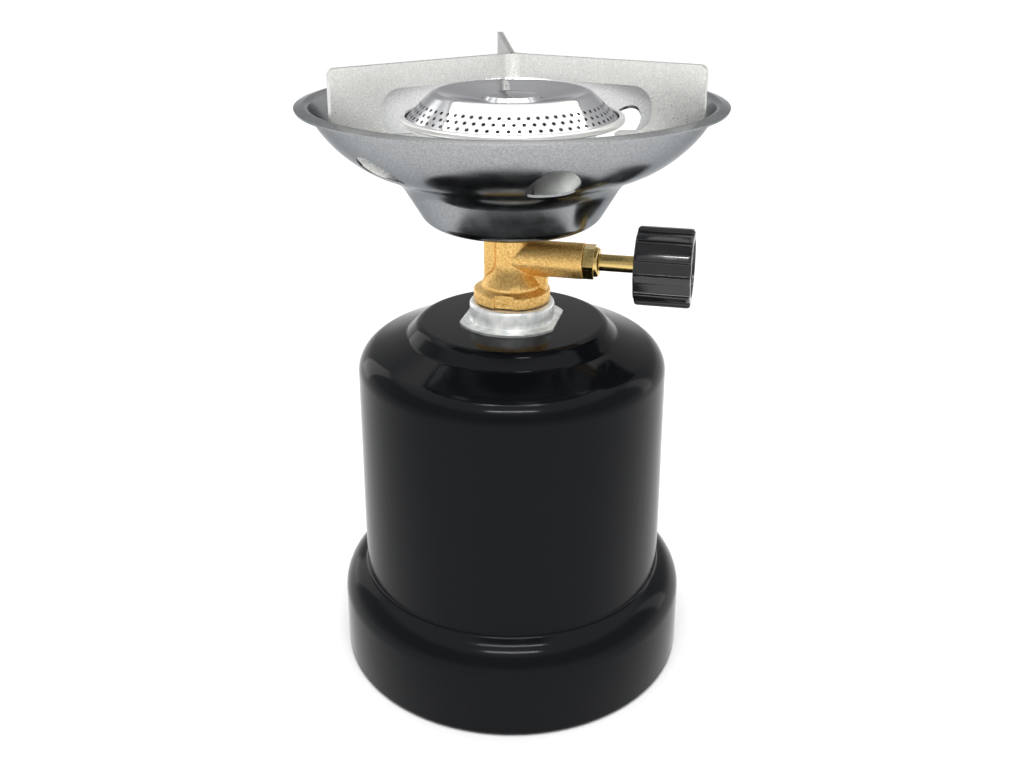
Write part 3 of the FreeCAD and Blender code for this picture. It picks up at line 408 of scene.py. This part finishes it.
def break_edges(piece, width):
    """Merges what is flat, and rounds the edges as tumbling does."""
    bpy.ops.object.select_all(action="DESELECT")
    piece.select_set(True)
    bpy.context.view_layer.objects.active = piece
    bpy.ops.object.mode_set(mode="EDIT")
    bpy.ops.mesh.select_all(action="SELECT")
    bpy.ops.mesh.dissolve_limited(angle_limit=math.radians(0.5))
    bpy.ops.mesh.remove_doubles(threshold=0.02 * MM)
    bpy.ops.object.mode_set(mode="OBJECT")
    edge = piece.modifiers.new("edge", "BEVEL")
    edge.width = width
    edge.segments = 2
    edge.limit_method = "ANGLE"
    edge.angle_limit = math.radians(30)
    edge.use_clamp_overlap = True
    apply_modifier(piece, edge)
    smooth(piece)
    even = piece.modifiers.new("even", "WEIGHTED_NORMAL")
    even.keep_sharp = True
    apply_modifier(piece, even)


gland_nut = copy_node("gland_nut", "gland_nut_turned")
break_edges(gland_nut, 0.15 * MM)
paint(gland_nut, turned_brass)
stand_for(gland_nut, "burner_head", "gland_nut")

spindle = copy_node("control_spindle", "spindle_turned")
break_edges(spindle, 0.1 * MM)
paint(spindle, turned_brass)
stand_for(spindle, "control_stem", "control_spindle")

# Knob: a glossy black moulding with eleven ribs whose ends are rounded.

knob = copy_node("knob", "knob_moulded")
soften_skin(knob, 0.16 * MM, 3, 0.3)
smooth(knob, 60)
gloss_black, shader = new_finish("black_plastic", (0.009, 0.009, 0.01), 0, 0.16)
shader.inputs["Specular IOR Level"].default_value = 0.6
vary_gloss(gloss_black, shader, add_noise(gloss_black, 260, detail=5), 0.1, 0.2)
add_grain(gloss_black, shader, add_noise(gloss_black, 1800, detail=2), 0.02 * MM, 0.25)
paint(knob, gloss_black)
stand_for(knob, "control_stem", "knob")

# Bowl: a nickel-plated pressing with a flat seat, a steep cup, a wide dish, a wall and a
# turned-out lip. Its upward-facing inside is painted lighter as painted light, and its outside darker
# as painted shade, on one and the same plating. Six round vents are punched through the dish.

bowl_sheet = 0.6 * MM
vent_circle = 45.7 * MM
vent_radius = 7.0 * MM
vent_azimuth = -64
vent_count = 6
bowl_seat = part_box("bowl")[0].z
cup_height = bowl_seat + 5.045 * MM
crease_height = bowl_seat + 19.317 * MM
wall_foot_height = bowl_seat + 25.377 * MM
lip_height = bowl_seat + 39.752 * MM
lip_edge_height = bowl_seat + 38.86 * MM

bowl = press_sheet("bowl_nickel", [
    (4.6 * MM, bowl_seat, 0),
    (9.0 * MM, bowl_seat, 3.0 * MM),
    (25.4 * MM, cup_height, 6.2 * MM),
    (33.8 * MM, crease_height, 12.0 * MM),
    (51.5 * MM, wall_foot_height, 30.0 * MM),
    (57.9 * MM, lip_height, 1.2 * MM),
    (61.0 * MM, lip_edge_height, 0),
], bowl_sheet, sides=256, steps=10)
for sixth in range(vent_count):
    turn = math.radians(vent_azimuth + 360 / vent_count * sixth)
    bpy.ops.object.select_all(action="DESELECT")
    bpy.ops.mesh.primitive_cylinder_add(
        vertices=64, radius=vent_radius, depth=lip_height - crease_height,
        location=(vent_circle * math.cos(turn), vent_circle * math.sin(turn),
                  (lip_height + crease_height) / 2))
    cut(bowl, bpy.context.object)
smooth(bowl)

# Faces turned upward are marked for the lighter base colour (painted light); the rest get the darker
# one (painted shade).
upward_slope = 0.1
painted_light_faces = bowl.data.attributes.new("inside", "FLOAT", "FACE")
for face in bowl.data.polygons:
    painted_light_faces.data[face.index].value = 1 if face.normal.z > upward_slope else 0

nickel, shader = new_finish("bright_nickel", (0.345, 0.357, 0.368), 1, 0.2)
shader.inputs["Specular Tint"].default_value = (0.44, 0.455, 0.47, 1)
speckle = add_noise(nickel, 1900, detail=6)
# Two base colours for one plating: a darker one as painted shade outside, a lighter one as painted
# light inside.
outside = vary_colour(nickel, shader, speckle, (0.25, 0.259, 0.266), (0.35, 0.361, 0.369))
inside = vary_colour(nickel, shader, speckle, (0.42, 0.425, 0.425), (0.52, 0.525, 0.52))
painted_light_mask = nickel.node_tree.nodes.new("ShaderNodeAttribute")
painted_light_mask.attribute_name = "inside"
sides = nickel.node_tree.nodes.new("ShaderNodeMixRGB")
nickel.node_tree.links.new(painted_light_mask.outputs["Fac"], sides.inputs["Fac"])
nickel.node_tree.links.new(outside, sides.inputs["Color1"])
nickel.node_tree.links.new(inside, sides.inputs["Color2"])
nickel.node_tree.links.new(sides.outputs["Color"], shader.inputs["Base Color"])
vary_gloss(nickel, shader, add_noise(nickel, 120, detail=6), 0.15, 0.24)
add_grain(nickel, shader, add_noise(nickel, 2400, detail=3), 0.015 * MM, 0.45)
paint(bowl, nickel)
stand_for(bowl, "burner_head", "bowl")

# Washer, lock nut and mixing tube: they clamp the bowl on the column and lead the gas up. They
# are hidden inside the cup, under the burner.

paint_node("bowl_washer", zinc)
paint_node("bowl_lock_nut", turned_brass)
paint_node("mixing_tube", steel)

# Burner: a funnel pan of rolled sheet, curled over the flange of a polished, perforated cap. The
# cap's flame holes stand in three staggered rows, punched square to its sloping band.

pan_low, pan_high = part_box("burner_pan")
burner_sheet = 0.5 * MM
pan_neck = 7.05 * MM
pan_neck_top = 161.6 * MM
pan_rim = 32.2 * MM
pan_rim_bottom = 169.9 * MM
pan_curl = 1.6 * MM

pan = press_sheet("burner_pan_polished", [
    (pan_neck, pan_low.z, 0),
    (pan_neck, pan_neck_top, 1.6 * MM),
    (27.6 * MM, pan_rim_bottom, 2.0 * MM),
    (pan_rim, pan_rim_bottom, 0.8 * MM),
    (pan_rim, pan_high.z, 0.8 * MM),
    (pan_rim - pan_curl, pan_high.z, 0),
], burner_sheet)
smooth(pan)
rolled, shader = new_finish("rolled_nickel", (0.82, 0.82, 0.8), 1, 0.38)
vary_gloss(rolled, shader, add_noise(rolled, 160, detail=5), 0.34, 0.42)
add_grain(rolled, shader, add_noise(rolled, 4200, detail=2), 0.02 * MM, 0.4)
paint(pan, rolled)
stand_for(pan, "burner_head", "burner_pan")

polished, shader = new_finish("polished_nickel", (0.66, 0.665, 0.675), 1, 0.16)
shader.inputs["Specular Tint"].default_value = (0.6, 0.6, 0.62, 1)
vary_gloss(polished, shader, add_noise(polished, 160, detail=5), 0.13, 0.19)
add_grain(polished, shader, add_noise(polished, 5000, detail=2), 0.01 * MM, 0.25)
cap = copy_node("burner_cap", "burner_cap_polished")
smooth(cap, 30)
paint(cap, polished)
stand_for(cap, "burner_head", "burner_cap")

# Pot support: three plates folded from nickel-plated strip, set back to back in three wings. The
# plating is satin and grained like sand, and the blanked edges shine.

satin, shader = new_finish("satin_nickel", (0.93, 0.925, 0.895), 1, 0.3)
shader.inputs["Specular Tint"].default_value = (0.3, 0.31, 0.32, 1)
vary_colour(satin, shader, add_noise(satin, 2200, detail=6), (0.82, 0.815, 0.785), (0.99, 0.985, 0.955))
vary_gloss(satin, shader, add_noise(satin, 1600, detail=4), 0.26, 0.4)
add_grain(satin, shader, add_noise(satin, 2600, detail=4), 0.03 * MM, 0.5)
for number in (1, 2, 3):
    plate = copy_node("support_plate_%d" % number, "pot_support_%d" % number)
    break_edges(plate, 0.12 * MM)
    paint(plate, satin)
    stand_for(plate, "burner_head", "support_plate_%d" % number)

# Stage: a pale floor without an end, a soft sky, two strip lamps high in front and two soft lamps
# behind, and the camera where the photograph was taken from.

bpy.ops.object.select_all(action="DESELECT")
bpy.ops.mesh.primitive_plane_add(size=30)
floor = bpy.context.object
floor.name = "floor"
pale, shader = new_finish("pale_floor", (0.9, 0.9, 0.9), 0, 0.6)
paint(floor, pale)

world = bpy.data.worlds.new("studio")
bpy.context.scene.world = world
world.use_nodes = True
sky = world.node_tree.nodes["Background"]
sky.inputs["Color"].default_value = (1, 1, 1, 1)
direction = world.node_tree.nodes.new("ShaderNodeTexCoord")
upward = world.node_tree.nodes.new("ShaderNodeSeparateXYZ")
haze = world.node_tree.nodes.new("ShaderNodeMapRange")
haze.interpolation_type = "SMOOTHSTEP"
haze.inputs["From Min"].default_value = 0.02
haze.inputs["From Max"].default_value = 0.24
haze.inputs["To Min"].default_value = 1.0
haze.inputs["To Max"].default_value = 0.58
tent = world.node_tree.nodes.new("ShaderNodeMapRange")
tent.interpolation_type = "SMOOTHSTEP"
tent.inputs["From Min"].default_value = 0.55
tent.inputs["From Max"].default_value = 0.75
tent.inputs["To Min"].default_value = 0.6
tent.inputs["To Max"].default_value = 1.56
brighter = world.node_tree.nodes.new("ShaderNodeMath")
brighter.operation = "MAXIMUM"
world.node_tree.links.new(direction.outputs["Generated"], upward.inputs["Vector"])
world.node_tree.links.new(upward.outputs["Z"], haze.inputs["Value"])
world.node_tree.links.new(upward.outputs["Z"], tent.inputs["Value"])
world.node_tree.links.new(haze.outputs["Result"], brighter.inputs[0])
world.node_tree.links.new(tent.outputs["Result"], brighter.inputs[1])
world.node_tree.links.new(brighter.outputs["Value"], sky.inputs["Strength"])

aim = Vector((0, 0, 0.1))


def add_lamp(name, place, width, height, power):
    data = bpy.data.lights.new(name, "AREA")
    data.shape = "RECTANGLE"
    data.size = width
    data.size_y = height
    data.energy = power
    lamp = bpy.data.objects.new(name, data)
    bpy.context.scene.collection.objects.link(lamp)
    lamp.location = place
    lamp.rotation_euler = (aim - Vector(place)).to_track_quat("-Z", "Y").to_euler()


add_lamp("strip_front", (0.13, -0.56, 0.79), 0.45, 0.03, 2.6)
add_lamp("strip_top", (0.05, -0.23, 0.97), 0.45, 0.03, 2.0)
add_lamp("back_left", (-0.8, 0.45, 0.35), 0.3, 0.7, 0.8)
add_lamp("back_right", (0.75, 0.5, 0.35), 0.2, 0.7, 0.6)

camera_distance = 0.3107
camera_height = 0.228
camera_azimuth = math.radians(13)
camera_pitch = math.radians(19.10)
photo_focus = 1093.9
photo_width = 1024
photo_height = 768
axis_row = 284

camera_data = bpy.data.cameras.new("camera")
camera_data.sensor_width = 36
camera_data.lens = photo_focus * camera_data.sensor_width / photo_width
camera_data.shift_y = (axis_row - photo_height / 2) / photo_width
camera_data.clip_start = 0.01
camera_data.clip_end = 100
camera = bpy.data.objects.new("camera", camera_data)
bpy.context.scene.collection.objects.link(camera)
camera.location = (camera_distance * math.sin(camera_azimuth),
                   -camera_distance * math.cos(camera_azimuth), camera_height)
looking = Vector((-math.sin(camera_azimuth) * math.cos(camera_pitch),
                  math.cos(camera_azimuth) * math.cos(camera_pitch), -math.sin(camera_pitch)))
camera.rotation_euler = looking.to_track_quat("-Z", "Y").to_euler()
bpy.context.scene.camera = camera
bpy.context.scene.view_settings.view_transform = "Standard"
